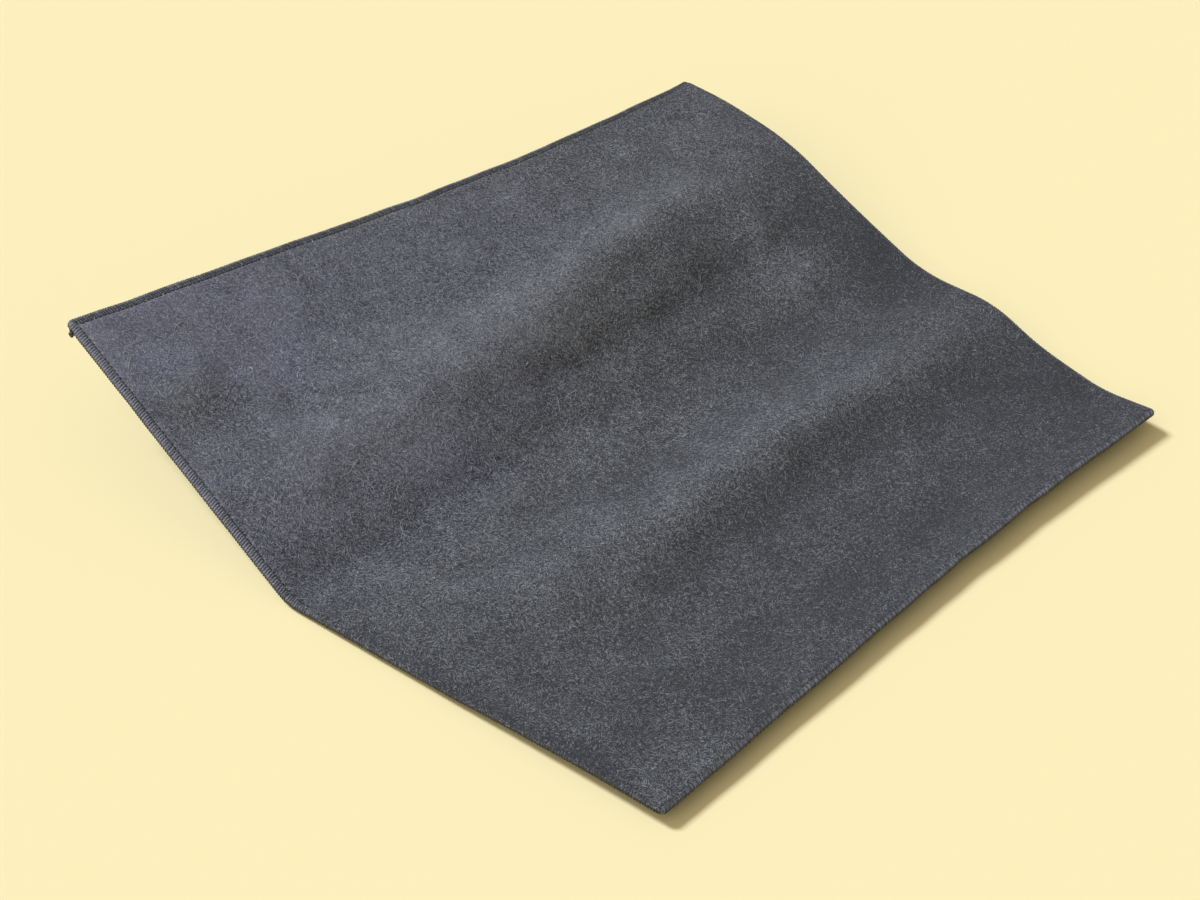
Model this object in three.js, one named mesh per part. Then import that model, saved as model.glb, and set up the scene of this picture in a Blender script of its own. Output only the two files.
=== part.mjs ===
// A stitched-edge desk pad of brushed felt, lying on a desk with its back end still curled up from
// being kept rolled. Every piece is described flat, as it is cut and sewn, and then laid on the wavy form.
// Millimetres, +Z up. Flat coordinates: u along the long side, v from the front side to the back side and
// n upwards from the pad's underside. The pad's sides are called front, back, near (u = 0) and far.
import * as THREE from 'three';
import { mergeVertices } from 'three/addons/utils/BufferGeometryUtils.js';

// Driving dimensions of the pad
const PAD_LENGTH = 450;
const PAD_DEPTH = 400;
const CORNER_RADIUS = 4;
const FELT_THICKNESS = 2.1;
const BACKING_THICKNESS = 0.8;
const BOND_LINE = 0.15;

// Driving dimensions of the overlocked edge
const SEAM_WIDTH = 5;
const LOOPER_THICKNESS = 0.7;
const LOOPER_ROUNDING = 1.1;
const NEEDLE_THREAD_WIDTH = 0.8;
const NEEDLE_THREAD_HEIGHT = 0.5;
const TAIL_DIAMETER = 0.9;
const TAIL_LENGTH = 7;
const CLEARANCE = 0.3;
const MITRE_GAP = 0.3;

// Width of the needle thread's flat crown, as a share of the thread
const NEEDLE_CROWN = 0.5;

// Path of the thread tail: out from the edge in stand-offs, along the edge and upwards in tail lengths
const TAIL_PATH = [[1, 0, 0.2], [1.3, 0.45, -0.1], [1, 0.9, -0.35]];

// How the pad lies: its folds run from the near side to the far side and are listed from front to back.
// Each gives its place from the front side, its height over the desk and half the length over which it
// bends, each at the near side, half way and at the far side, in hundredths of the pad's depth. A height
// below zero is pressed flat on the desk.
const FOLDS = [
  { name: 'front side', place: [0, 0, 0], height: [2.6, 2.5, 3], bend: [0, 0, 0] },
  { name: 'front crest', place: [11.9, 10.3, 9.8], height: [2.6, -0.4, 1.1], bend: [3.5, 3.4, 3.5] },
  { name: 'front trough', place: [22.2, 22.8, 21.6], height: [2.2, -1, 1.85], bend: [3.5, 2.5, 3.5] },
  { name: 'middle crest', place: [32.6, 33, 31.5], height: [1.6, 3.5, 3.9], bend: [4, 3.1, 4] },
  { name: 'valley', place: [53.4, 50.3, 45.2], height: [0.3, -2.2, 2.2], bend: [1.8, 3.6, 5] },
  { name: 'wall foot', place: [60, 60.5, 64], height: [2.6, 2.8, 6.4], bend: [3, 4, 4] },
  { name: 'back crest', place: [66, 73.2, 77], height: [4.7, 9.6, 9.75], bend: [5, 2.6, 6] },
  { name: 'back dip', place: [82, 84.8, 91], height: [10.3, 8.8, 10.2], bend: [5, 4.1, 4] },
  { name: 'back side', place: [100, 100, 100], height: [16.6, 12.1, 9.4], bend: [0, 0, 0] },
];
const VALLEY = FOLDS.findIndex((fold) => fold.name === 'valley');
const HUNDREDTH = PAD_DEPTH / 100;

// Share of the room to the next fold that a bend may take
const BEND_SHARE = 0.45;

// The near side droops between the front corner and the valley
const LIP_WIDTH = 26;
const LIP_DROP = 3.5;

// The soft pad lies a little out of square: the back spreads and the far side draws in
const SPREAD_ALONG = 0.105;
const SPREAD_ACROSS = -0.085;

// The crease of the valley pushes the near side outwards
const KINK_REACH = 18;
const KINK_ROUNDING = 8;

// The sewn edge stands off the desk where it crosses the valley, and the sheet sags to the desk inside it
const STANDOFF_SPARE = 0.15;
const EDGE_STANDOFF = LOOPER_THICKNESS + CLEARANCE + STANDOFF_SPARE;
const SAG_WIDTH = 30;
const PRESS_SOFTNESS = 0.6;

// Grid of the sheets and steps of the sums
const FREE_COLUMNS = 20;
const ROWS_BETWEEN = [1, 0, 0, 3, 1, 1, 1, 1];
const CORNER_STEPS = 3;
const PLAN_STEP = 4;
const SLOPE_STEP = 0.5;

// Values that follow from the dimensions
const PAD_THICKNESS = BACKING_THICKNESS + BOND_LINE + FELT_THICKNESS;
const SHEET_INSET = LOOPER_THICKNESS + CLEARANCE;
const SEWN_MARGIN = SEAM_WIDTH + CLEARANCE + NEEDLE_THREAD_WIDTH + LOOPER_ROUNDING;
const [KINK_PLACE, STILL_ROW] = FOLDS[VALLEY].place.map((place) => HUNDREDTH * place);
const STILL_COLUMN = PAD_LENGTH / 2;

// Place of the lower face in the list of a box's faces
const LOWER_FACE = 5;

// A value given near, half way and far, as a smooth curve along the pad
function along([near, half, far], u) {
  const s = u / PAD_LENGTH;
  return near * (1 - s) * (1 - 2 * s) + half * 4 * s * (1 - s) + far * s * (2 * s - 1);
}

// Zero below the bend, a straight rise above it and a parabola between
function roundedRamp(x, halfBend) {
  if (x <= -halfBend) return 0;
  if (x >= halfBend) return x;
  return (x + halfBend) ** 2 / (4 * halfBend);
}

// Where the folds lie at one place along the pad, with each bend kept short of its neighbours
function foldsAt(u) {
  const places = FOLDS.map((fold) => HUNDREDTH * along(fold.place, u));
  const heights = FOLDS.map((fold) => HUNDREDTH * along(fold.height, u));
  const bends = FOLDS.map((fold, i) => {
    const room = Math.min(places[i] - (places[i - 1] ?? -Infinity), (places[i + 1] ?? Infinity) - places[i]);
    return Math.min(HUNDREDTH * along(fold.bend, u), BEND_SHARE * room);
  });
  return { places, heights, bends };
}

// The drooping near edge: deepest half way between the front corner and the valley
function lipDrop(u, v, valleyPlace) {
  if (u >= LIP_WIDTH || v <= 0 || v >= valleyPlace) return 0;
  return LIP_DROP * (1 - u / LIP_WIDTH) ** 2 * Math.sin((Math.PI * v) / valleyPlace) ** 2;
}

// Height of the pad's underside over the desk
function heightAt(u, v) {
  const { places, heights, bends } = foldsAt(u);
  let slope = (heights[1] - heights[0]) / (places[1] - places[0]);
  let height = heights[0] + slope * v;
  for (let i = 1; i < FOLDS.length - 1; i += 1) {
    const next = (heights[i + 1] - heights[i]) / (places[i + 1] - places[i]);
    height += (next - slope) * roundedRamp(v - places[i], bends[i]);
    slope = next;
  }
  height -= lipDrop(u, v, places[VALLEY]);
  const toSide = Math.min(u, PAD_LENGTH - u);
  const desk = EDGE_STANDOFF * (1 - THREE.MathUtils.smoothstep(toSide, 0, SAG_WIDTH));
  return desk + roundedRamp(height - desk, PRESS_SOFTNESS);
}

// Length on the desk of a stretch of the pad, which shortens where the pad climbs
function planLength(from, to, heightOn) {
  const steps = Math.max(1, Math.ceil(Math.abs(to - from) / PLAN_STEP));
  const step = (to - from) / steps;
  let length = 0;
  for (let i = 0; i < steps; i += 1) {
    const rise = heightOn(from + (i + 1) * step) - heightOn(from + i * step);
    length += Math.sign(step) * Math.sqrt(Math.max(step ** 2 - rise ** 2, 0));
  }
  return length;
}

// How far the crease pushes a place outwards: most where it meets the near side, less towards the corners
function kinkReach(u, v) {
  const turn = 1 / KINK_PLACE + 1 / (PAD_DEPTH - KINK_PLACE);
  const share = v / KINK_PLACE - turn * roundedRamp(v - KINK_PLACE, KINK_ROUNDING);
  return KINK_REACH * (1 - u / PAD_LENGTH) * share;
}

// Place of a point of the pad's underside on the desk
function underside(u, v) {
  const twist = (u / PAD_LENGTH - 0.5) * (v / PAD_DEPTH - 0.5);
  const x = planLength(STILL_COLUMN, u, (at) => heightAt(at, v)) + PAD_LENGTH * SPREAD_ALONG * twist;
  const y = planLength(STILL_ROW, v, (at) => heightAt(u, at)) + PAD_DEPTH * SPREAD_ACROSS * twist;
  return new THREE.Vector3(x - kinkReach(u, v), y, heightAt(u, v));
}

// Slope of the underside at a place where heightOn gives the height along one flat direction
function deskSlope(heightOn, at) {
  const slope = (heightOn(at + SLOPE_STEP) - heightOn(at - SLOPE_STEP)) / (2 * SLOPE_STEP);
  return slope / Math.sqrt(1 - slope ** 2);
}

// A flat point (u, v, n) laid on the wavy form, square to the underside
function lay(u, v, n) {
  const slopeAlong = deskSlope((at) => heightAt(at, v), u);
  const slopeAcross = deskSlope((at) => heightAt(u, at), v);
  const normal = new THREE.Vector3(-slopeAlong, -slopeAcross, 1).normalize();
  return underside(u, v).addScaledVector(normal, n);
}

// Columns of the grid, from the near side to the far side
const COLUMNS = [SHEET_INSET];
for (let i = 0; i <= FREE_COLUMNS; i += 1) {
  COLUMNS.push(THREE.MathUtils.lerp(SEWN_MARGIN, PAD_LENGTH - SEWN_MARGIN, i / FREE_COLUMNS));
}
COLUMNS.push(PAD_LENGTH - SHEET_INSET);

// Rows of the grid at one place along the pad: each fold has a row at its middle and at both ends of its bend
function rowsAt(u) {
  const { places, bends } = foldsAt(u);
  const rows = [SHEET_INSET];
  let last = SEWN_MARGIN;
  rows.push(last);
  for (let i = 1; i < FOLDS.length; i += 1) {
    const isBack = i === FOLDS.length - 1;
    const start = isBack ? PAD_DEPTH - SEWN_MARGIN : places[i] - bends[i];
    const between = ROWS_BETWEEN[i - 1];
    for (let k = 1; k <= between; k += 1) rows.push(THREE.MathUtils.lerp(last, start, k / (between + 1)));
    rows.push(start);
    if (!isBack) rows.push(places[i], places[i] + bends[i]);
    last = places[i] + bends[i];
  }
  rows.push(PAD_DEPTH - SHEET_INSET);
  return rows;
}
const ROW_COUNT = rowsAt(0).length;

// Makes a mesh of a plain geometry: joins its shared vertices and moves each one with place(x, y, z)
function laidMesh(name, geometry, material, place) {
  geometry.deleteAttribute('normal');
  geometry.deleteAttribute('uv');
  const joined = mergeVertices(geometry);
  const position = joined.getAttribute('position');
  for (let i = 0; i < position.count; i += 1) {
    const point = place(position.getX(i), position.getY(i), position.getZ(i));
    position.setXYZ(i, point.x, point.y, point.z);
  }
  joined.computeVertexNormals();
  const mesh = new THREE.Mesh(joined, material);
  mesh.name = name;
  return mesh;
}

// Gives the box's lower face the diagonals of its upper face, so that sheets lie on each other evenly
function matchDiagonals(box) {
  const { start, count } = box.groups[LOWER_FACE];
  for (let i = start; i < start + count; i += 6) {
    const [a, b, d, , c] = box.index.array.slice(i, i + 6);
    box.index.array.set([a, b, c, a, c, d], i);
  }
}

// A sheet of the pad between two heights, as a box with the grid's columns and rows
function sheet(name, low, high, material) {
  const columns = COLUMNS.length - 1;
  const rows = ROW_COUNT - 1;
  const box = new THREE.BoxGeometry(columns, rows, 1, columns, rows, 1);
  box.translate(columns / 2, rows / 2, 0.5);
  matchDiagonals(box);
  const cornerInset = CORNER_RADIUS - (CORNER_RADIUS - SHEET_INSET) * Math.SQRT1_2;
  return laidMesh(name, box, material, (x, y, z) => {
    let u = COLUMNS[Math.round(x)];
    let v = rowsAt(u)[Math.round(y)];
    const atCorner = (x < 0.5 || x > columns - 0.5) && (y < 0.5 || y > rows - 0.5);
    if (atCorner) {
      u = x < 0.5 ? cornerInset : PAD_LENGTH - cornerInset;
      v = y < 0.5 ? cornerInset : PAD_DEPTH - cornerInset;
    }
    return lay(u, v, z < 0.5 ? low : high);
  });
}

// Section of the looper thread that covers the face and the upper half of the edge: x is the depth in
// from the pad's outermost edge and y is the height n
function upperLooperSection() {
  const inner = PAD_THICKNESS + CLEARANCE;
  const outer = inner + LOOPER_THICKNESS;
  const split = (PAD_THICKNESS + CLEARANCE) / 2;
  const section = new THREE.Shape();
  section.moveTo(SEAM_WIDTH, inner);
  section.lineTo(SEAM_WIDTH, outer);
  section.lineTo(LOOPER_ROUNDING, outer);
  section.absarc(LOOPER_ROUNDING, outer - LOOPER_ROUNDING, LOOPER_ROUNDING, Math.PI / 2, Math.PI, false);
  section.lineTo(0, split);
  section.lineTo(LOOPER_THICKNESS, split);
  section.lineTo(LOOPER_THICKNESS, inner);
  return section;
}

// The same section turned over for the thread under the pad
function lowerLooperSection() {
  const points = upperLooperSection().getPoints(2);
  return new THREE.Shape(points.map((point) => new THREE.Vector2(point.x, PAD_THICKNESS - point.y)));
}

// Section of the needle thread, a flat bead on the face just inside the looper thread
function needleThreadSection() {
  const low = PAD_THICKNESS + CLEARANCE;
  const start = SEAM_WIDTH + CLEARANCE;
  const end = start + NEEDLE_THREAD_WIDTH;
  const shoulder = (NEEDLE_THREAD_WIDTH * (1 - NEEDLE_CROWN)) / 2;
  const section = new THREE.Shape();
  section.moveTo(start, low);
  section.lineTo(end, low);
  section.lineTo(end - shoulder, low + NEEDLE_THREAD_HEIGHT);
  section.lineTo(start + shoulder, low + NEEDLE_THREAD_HEIGHT);
  return section;
}

// Flat place of a point of a thread near a corner, as [along, depth] from the corner: step 0 lies on the
// straight side, the outer edge then turns through half the corner, and the rest runs to the mitre
function cornerPlace(depth, step) {
  if (step === 0) return [SEWN_MARGIN, depth];
  const gap = step === CORNER_STEPS ? MITRE_GAP * Math.SQRT1_2 : 0;
  if (depth < CORNER_RADIUS / 2) {
    const turn = (Math.PI / 4) * ((step - 1) / (CORNER_STEPS - 1));
    const radius = CORNER_RADIUS - depth;
    return [CORNER_RADIUS - radius * Math.sin(turn) + gap, CORNER_RADIUS - radius * Math.cos(turn)];
  }
  return [THREE.MathUtils.lerp(SEWN_MARGIN, depth, step / CORNER_STEPS) + gap, depth];
}

// The four sides: how many grid stations each has, how long it is and where a place on it lies in the flat
const SIDES = {
  front: {
    length: PAD_LENGTH,
    stations: COLUMNS.length,
    free: (k) => COLUMNS[k],
    flat: (place, depth) => [place, depth],
    turned: false,
  },
  back: {
    length: PAD_LENGTH,
    stations: COLUMNS.length,
    free: (k) => COLUMNS[k],
    flat: (place, depth) => [place, PAD_DEPTH - depth],
    turned: true,
  },
  near: {
    length: PAD_DEPTH,
    stations: ROW_COUNT,
    free: (k, depth) => rowsAt(depth)[k],
    flat: (place, depth) => [depth, place],
    turned: true,
  },
  far: {
    length: PAD_DEPTH,
    stations: ROW_COUNT,
    free: (k, depth) => rowsAt(PAD_LENGTH - depth)[k],
    flat: (place, depth) => [PAD_LENGTH - depth, place],
    turned: false,
  },
};

// A thread sewn along one side: its section is extruded through the side's stations, mitred at both ends
// and laid on the form
function sewnThread(name, section, side, material) {
  const straight = side.stations - 2;
  const last = straight + 2 * CORNER_STEPS - 1;
  const extruded = new THREE.ExtrudeGeometry(section, {
    depth: last, steps: last, bevelEnabled: false, curveSegments: 2,
  });
  return laidMesh(name, extruded, material, (depth, n, z) => {
    // Turned sides run the other way, so that the extrusion's faces still point out
    const station = side.turned ? last - Math.round(z) : Math.round(z);
    const fromEnd = Math.min(station, last - station);
    let place = 0;
    let inward = depth;
    if (fromEnd <= CORNER_STEPS) {
      [place, inward] = cornerPlace(depth, CORNER_STEPS - fromEnd);
      if (station > last / 2) place = side.length - place;
    } else {
      place = side.free(station - CORNER_STEPS + 1, depth);
    }
    const [u, v] = side.flat(place, inward);
    return lay(u, v, n);
  });
}

// The end of the thread chain, left hanging at the near back corner
function threadTail(name, material) {
  const standOff = CLEARANCE + TAIL_DIAMETER / 2;
  const start = PAD_DEPTH - CORNER_RADIUS;
  const path = new THREE.CatmullRomCurve3(TAIL_PATH.map(([out, on, up]) => (
    lay(-out * standOff, start - on * TAIL_LENGTH, up * TAIL_LENGTH)
  )));
  const section = new THREE.Shape().absarc(0, 0, TAIL_DIAMETER / 2, 0, 2 * Math.PI, false);
  const tube = new THREE.ExtrudeGeometry(section, { extrudePath: path, steps: 6, curveSegments: 6 });
  return laidMesh(name, tube, material, (x, y, z) => new THREE.Vector3(x, y, z));
}

const wool = new THREE.MeshStandardMaterial({ color: '#57585c', roughness: 0.95, metalness: 0 });
const nonSlip = new THREE.MeshStandardMaterial({ color: '#2b2c2e', roughness: 0.85, metalness: 0 });
const looperYarn = new THREE.MeshStandardMaterial({ color: '#44464b', roughness: 0.8, metalness: 0 });
const needleYarn = new THREE.MeshStandardMaterial({ color: '#2f3136', roughness: 0.75, metalness: 0 });

const pad = new THREE.Group();
pad.add(sheet('backing_sheet', 0, BACKING_THICKNESS, nonSlip));
pad.add(sheet('felt_face_sheet', BACKING_THICKNESS + BOND_LINE, PAD_THICKNESS, wool));
for (const [sideName, side] of Object.entries(SIDES)) {
  pad.add(sewnThread(`upper_looper_thread_${sideName}`, upperLooperSection(), side, looperYarn));
  pad.add(sewnThread(`lower_looper_thread_${sideName}`, lowerLooperSection(), side, looperYarn));
  pad.add(sewnThread(`needle_thread_${sideName}`, needleThreadSection(), side, needleYarn));
}
pad.add(threadTail('thread_tail', looperYarn));

// The origin is at the middle of the pad's box, on the desk
const extent = new THREE.Box3().setFromObject(pad);
const middle = extent.getCenter(new THREE.Vector3());
pad.position.set(-middle.x, -middle.y, -extent.min.z);

const model = new THREE.Group();
model.add(pad);
export default model;
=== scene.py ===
"""A stitched-edge felt desk pad, lying in gentle waves with its back end curled up.

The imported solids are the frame. Every soft piece is made flat, as it is cut and sewn, and then laid on the
same wavy form that the solids have. Flat places are in millimetres: u runs along the long sides from the
near side, v from the front side to the back side, and n upwards from the pad's underside.
"""

import logging
import math
from dataclasses import dataclass
from enum import Enum

import bmesh
import bpy
import numpy as np
from bmesh.types import BMEdge, BMesh, BMVert
from bpy.types import Material, Node, NodeSocket, NodeTree, Object
from mathutils import Matrix, Vector


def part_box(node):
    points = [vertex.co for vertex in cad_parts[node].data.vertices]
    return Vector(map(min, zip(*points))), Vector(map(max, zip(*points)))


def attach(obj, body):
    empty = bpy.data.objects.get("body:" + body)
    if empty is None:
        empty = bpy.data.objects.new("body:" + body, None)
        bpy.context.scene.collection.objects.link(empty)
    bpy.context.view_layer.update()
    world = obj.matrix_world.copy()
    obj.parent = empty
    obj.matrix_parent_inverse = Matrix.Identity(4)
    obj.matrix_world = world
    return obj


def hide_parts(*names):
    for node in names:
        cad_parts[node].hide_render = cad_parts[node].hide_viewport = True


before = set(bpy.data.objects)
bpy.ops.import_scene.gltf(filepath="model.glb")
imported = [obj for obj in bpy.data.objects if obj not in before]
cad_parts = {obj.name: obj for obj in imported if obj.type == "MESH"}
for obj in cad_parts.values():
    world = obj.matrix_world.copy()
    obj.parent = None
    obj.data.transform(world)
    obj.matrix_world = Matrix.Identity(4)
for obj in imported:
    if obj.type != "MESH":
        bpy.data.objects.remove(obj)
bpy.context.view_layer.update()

log = logging.getLogger("desk_pad")

Array = np.ndarray
Pair = tuple[float, float]
Triple = tuple[float, float, float]

MM = 0.001
TINY = 1e-9
STEEP = 0.9
BODY = "root"


def linear(hex_colour: str) -> tuple[float, float, float, float]:
    """Turns an sRGB hex colour to the linear colour that shaders take.

    Args:
        hex_colour: Six hex digits after a #.

    Returns:
        Linear red, green and blue, and an alpha of 1.
    """
    values = [int(hex_colour[i : i + 2], 16) / 255 for i in (1, 3, 5)]
    red, green, blue = (
        value / 12.92 if value <= 0.04045 else ((value + 0.055) / 1.055) ** 2.4 for value in values
    )
    return red, green, blue, 1.0


def feed(tree: NodeTree, node: Node, sockets: dict) -> None:
    """Gives a node's inputs their values and links.

    Args:
        tree: The node tree that holds the node.
        node: The node.
        sockets: Input name or number, with its value, or with the node or output socket that feeds it.
    """
    for name, value in sockets.items():
        if isinstance(value, Node):
            value = value.outputs[0]
        if isinstance(value, NodeSocket):
            tree.links.new(value, node.inputs[name])
        else:
            node.inputs[name].default_value = value


def add_node(tree: NodeTree, kind: str, sockets: dict | None = None, **settings: object) -> Node:
    """Adds a shader node with its settings, values and links.

    Args:
        tree: The node tree that gets the node.
        kind: The node's type name without ShaderNode.
        sockets: Its inputs, as feed takes them.
        **settings: Properties of the node.

    Returns:
        The new node.
    """
    node = tree.nodes.new("ShaderNode" + kind)
    for name, value in settings.items():
        setattr(node, name, value)
    feed(tree, node, sockets or {})
    return node


def per_mm(size: float) -> float:
    """Scale of a pattern on coordinates in metres, for a feature of that many millimetres."""
    return 1.0 / (size * MM)


def blank_material(name: str) -> tuple[Material, NodeTree, Node]:
    """Makes a material with its principled shader.

    Args:
        name: The real material's name.

    Returns:
        The material, its node tree and its shader node.
    """
    material = bpy.data.materials.new(name)
    material.use_nodes = True
    tree = material.node_tree
    return material, tree, tree.nodes["Principled BSDF"]


def bell(away: Array, width: float) -> Array:
    """A bell curve of height 1, which falls to 1/e at its width."""
    return np.exp(-((away / width) ** 2))


class Side(Enum):
    """The four sides of the pad."""

    FRONT = "front"
    BACK = "back"
    NEAR = "near"
    FAR = "far"


class Layer(Enum):
    """The looper threads: over the face, or under the pad."""

    UPPER = "upper"
    LOWER = "lower"


@dataclass(frozen=True)
class Fold:
    """One fold of the lying pad, in hundredths of the pad's depth, near, half way and far.

    bend is half the length over which the fold turns. A height below zero is pressed on the desk.
    """

    place: Triple
    height: Triple
    bend: Triple


FOLDS = (
    Fold((0, 0, 0), (1.8, 2.5, 3), (0, 0, 0)),
    Fold((11.9, 10.3, 9.8), (2.1, -0.4, 1.1), (3.5, 3.4, 3.5)),
    Fold((22.2, 22.8, 21.6), (2.2, -1, 1.85), (3.5, 2.5, 3.5)),
    Fold((32.6, 33, 31.5), (1.6, 3.5, 3.9), (4, 3.1, 4)),
    Fold((53.4, 50.3, 45.2), (0.3, -2.2, 2.2), (1.8, 3.6, 5)),
    Fold((60, 60.5, 64), (2.6, 2.8, 6.4), (3, 4, 4)),
    Fold((66, 73.2, 77), (4.7, 9.6, 9.75), (5, 2.6, 6)),
    Fold((82, 84.8, 91), (10.3, 8.8, 10.2), (5, 4.1, 4)),
    Fold((100, 100, 100), (16.6, 12.1, 9.4), (0, 0, 0)),
)
VALLEY = 4


@dataclass(frozen=True)
class Wrinkle:
    """A slight ridge of the lying pad, or a furrow where its height is below zero, in millimetres.

    ends is the share of its height that is left at its ends.
    """

    start: Pair
    end: Pair
    width: float
    height: float
    ends: float = 0.4

    def rise(self, u: Array, v: Array) -> Array:
        """How far the wrinkle lifts the pad.

        Args:
            u: Places along the pad.
            v: Places from the front side.

        Returns:
            The lift at each place.
        """
        step = np.subtract(self.end, self.start)
        share = np.clip(((u - self.start[0]) * step[0] + (v - self.start[1]) * step[1]) / (step @ step), 0, 1)
        away = np.hypot(u - self.start[0] - share * step[0], v - self.start[1] - share * step[1])
        along = self.ends + 4 * (1 - self.ends) * share * (1 - share)
        return self.height * bell(away, self.width) * along


WRINKLES = (
    Wrinkle((12, 54), (135, 60), 9.0, 2.4),
    Wrinkle((190, 48), (325, 53), 9.0, 2.4),
    Wrinkle((130, 14), (190, 38), 8.0, 1.8),
    Wrinkle((85, 100), (160, 120), 9.0, 1.5),
    Wrinkle((20, 340), (55, 348), 9.0, 2.0),
    Wrinkle((50, 262), (58, 318), 9.0, 1.6),
    Wrinkle((74, 290), (84, 352), 8.0, -1.6),
    Wrinkle((150, 330), (172, 385), 9.0, -1.2),
    Wrinkle((232, 352), (244, 392), 8.0, 1.2),
    Wrinkle((60, 165), (140, 215), 10.0, -1.5),
    Wrinkle((376, 225), (382, 290), 14.0, 2.4),
    Wrinkle((175, 248), (395, 250), 14.0, -3.3),
    Wrinkle((225, 301), (395, 314), 10.0, 1.6),
    Wrinkle((225, 126), (375, 128), 9.0, 1.4),
    Wrinkle((30, 235), (170, 235), 16.0, 2.0),
)


@dataclass
class PadForm:
    """The way the flat pad lies on the desk, in millimetres."""

    length: float = 450.0
    depth: float = 400.0
    corner_radius: float = 4.0
    backing: float = 0.8
    bond: float = 0.15
    felt: float = 2.1
    solid_inset: float = 1.0
    outline_step: float = 2.0
    seam_width: float = 4.3
    bend_share: float = 0.45
    lip_width: float = 26.0
    lip_drop: float = 3.5
    spread_along: float = 0.105
    spread_across: float = -0.085
    kink_reach: float = 18.0
    kink_rounding: float = 8.0
    edge_standoff: float = 1.15
    sag_width: float = 30.0
    press_softness: float = 0.6
    press_inside: float = 4.0
    ripple_height: float = 0.4
    ripple_length: Pair = (28.0, 75.0)
    ripple_waves: int = 26
    seed: int = 11
    soft_radius: float = 4.0
    soft_from: float = 36.0
    bend_shade_radius: float = 7.0
    margin: float = 6.0
    step: float = 1.0

    def __post_init__(self) -> None:
        """Works out the tables of places and normals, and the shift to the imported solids."""
        self.thickness = self.backing + self.bond + self.felt
        across_u = np.arange(-self.margin, self.length + self.margin + self.step / 2, self.step)
        across_v = np.arange(-self.margin, self.depth + self.margin + self.step / 2, self.step)
        u, v = np.meshgrid(across_u, across_v, indexing="ij")
        height = self.height(u, v)
        softened = self.smoothed(self.to_edge(u, v) / self.soft_from)
        height += (self.blurred(height, self.soft_radius) - height) * softened
        # How the pad bends, for the felt's painted shade in its hollows and painted light on its crests.
        wide = self.blurred(height, self.bend_shade_radius)
        self.bending = (wide - self.blurred(wide, 2 * self.bend_shade_radius))[..., None]
        x = self.plan_length(height, 0, self.length / 2)
        y = self.plan_length(height, 1, self.depth * FOLDS[VALLEY].place[1] / 100)
        twist = (u / self.length - 0.5) * (v / self.depth - 0.5)
        x += self.length * self.spread_along * twist - self.kink(u, v)
        y += self.depth * self.spread_across * twist
        self.places = np.stack([x, y, height], -1)
        slopes = [np.gradient(height, self.step, axis=axis) for axis in (0, 1)]
        slopes = [slope / np.sqrt(1 - slope**2) for slope in slopes]
        normals = np.stack([-slopes[0], -slopes[1], np.ones_like(height)], -1)
        self.normals = normals / np.linalg.norm(normals, axis=-1, keepdims=True)
        self.shift = np.zeros(3)
        self.shift = self.shift_to_solids()

    def to_edge(self, u: Array, v: Array) -> Array:
        """Distances from flat places to the nearest side."""
        return np.minimum(np.minimum(u, self.length - u), np.minimum(v, self.depth - v))

    def along(self, values: Triple, u: Array) -> Array:
        """A value given near, half way and far, as a smooth curve along the pad.

        Args:
            values: The three values.
            u: Places along the pad.

        Returns:
            The value at each place.
        """
        share = u / self.length
        near, half, far = values
        ends = near * (1 - share) * (1 - 2 * share) + far * share * (2 * share - 1)
        return ends + half * 4 * share * (1 - share)

    @staticmethod
    def rounded_ramp(x: Array, half_bend: Array | float) -> Array:
        """Zero below the bend, a straight rise above it and a parabola between."""
        bend = np.maximum(half_bend, TINY)
        return np.where(x <= -bend, 0.0, np.where(x >= bend, x, (x + bend) ** 2 / (4 * bend)))

    @staticmethod
    def smoothed(share: Array) -> Array:
        """A smooth step from 0 to 1."""
        share = np.clip(share, 0, 1)
        return share * share * (3 - 2 * share)

    def ripple(self, u: Array, v: Array) -> Array:
        """Slight unevenness of the soft pad: waves of many directions, the same ones each run.

        Args:
            u: Places along the pad.
            v: Places from the front side.

        Returns:
            The lift at each place.
        """
        draws = np.random.default_rng(self.seed)
        total = np.zeros_like(u)
        for _ in range(self.ripple_waves):
            turn, phase = draws.uniform(0, 2 * math.pi, 2)
            number = 2 * math.pi / draws.uniform(*self.ripple_length)
            total += np.sin(number * (u * math.cos(turn) + v * math.sin(turn)) + phase)
        return self.ripple_height * total * math.sqrt(2 / self.ripple_waves)

    def height(self, u: Array, v: Array) -> Array:
        """Height of the underside over the desk.

        Args:
            u: Places along the pad.
            v: Places from the front side.

        Returns:
            The heights, none below the desk.
        """
        hundredth = self.depth / 100
        places = [hundredth * self.along(fold.place, u) for fold in FOLDS]
        heights = [hundredth * self.along(fold.height, u) for fold in FOLDS]
        slope = (heights[1] - heights[0]) / (places[1] - places[0])
        height = heights[0] + slope * v
        for i in range(1, len(FOLDS) - 1):
            room = np.minimum(places[i] - places[i - 1], places[i + 1] - places[i])
            bend = np.minimum(hundredth * self.along(FOLDS[i].bend, u), self.bend_share * room)
            turned = (heights[i + 1] - heights[i]) / (places[i + 1] - places[i])
            height = height + (turned - slope) * self.rounded_ramp(v - places[i], bend)
            slope = turned
        wave = np.sin(math.pi * np.clip(v / places[VALLEY], 0, 1)) ** 2
        height = height - self.lip_drop * np.clip(1 - u / self.lip_width, 0, None) ** 2 * wave
        uneven = self.ripple(u, v) + sum(wrinkle.rise(u, v) for wrinkle in WRINKLES)
        height = height + uneven * self.smoothed(self.to_edge(u, v) / self.soft_from)
        inside = self.smoothed(np.minimum(u, self.length - u) / self.sag_width)
        desk = self.edge_standoff * (1 - inside)
        return desk + self.rounded_ramp(height - desk, self.press_softness + self.press_inside * inside)

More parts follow.
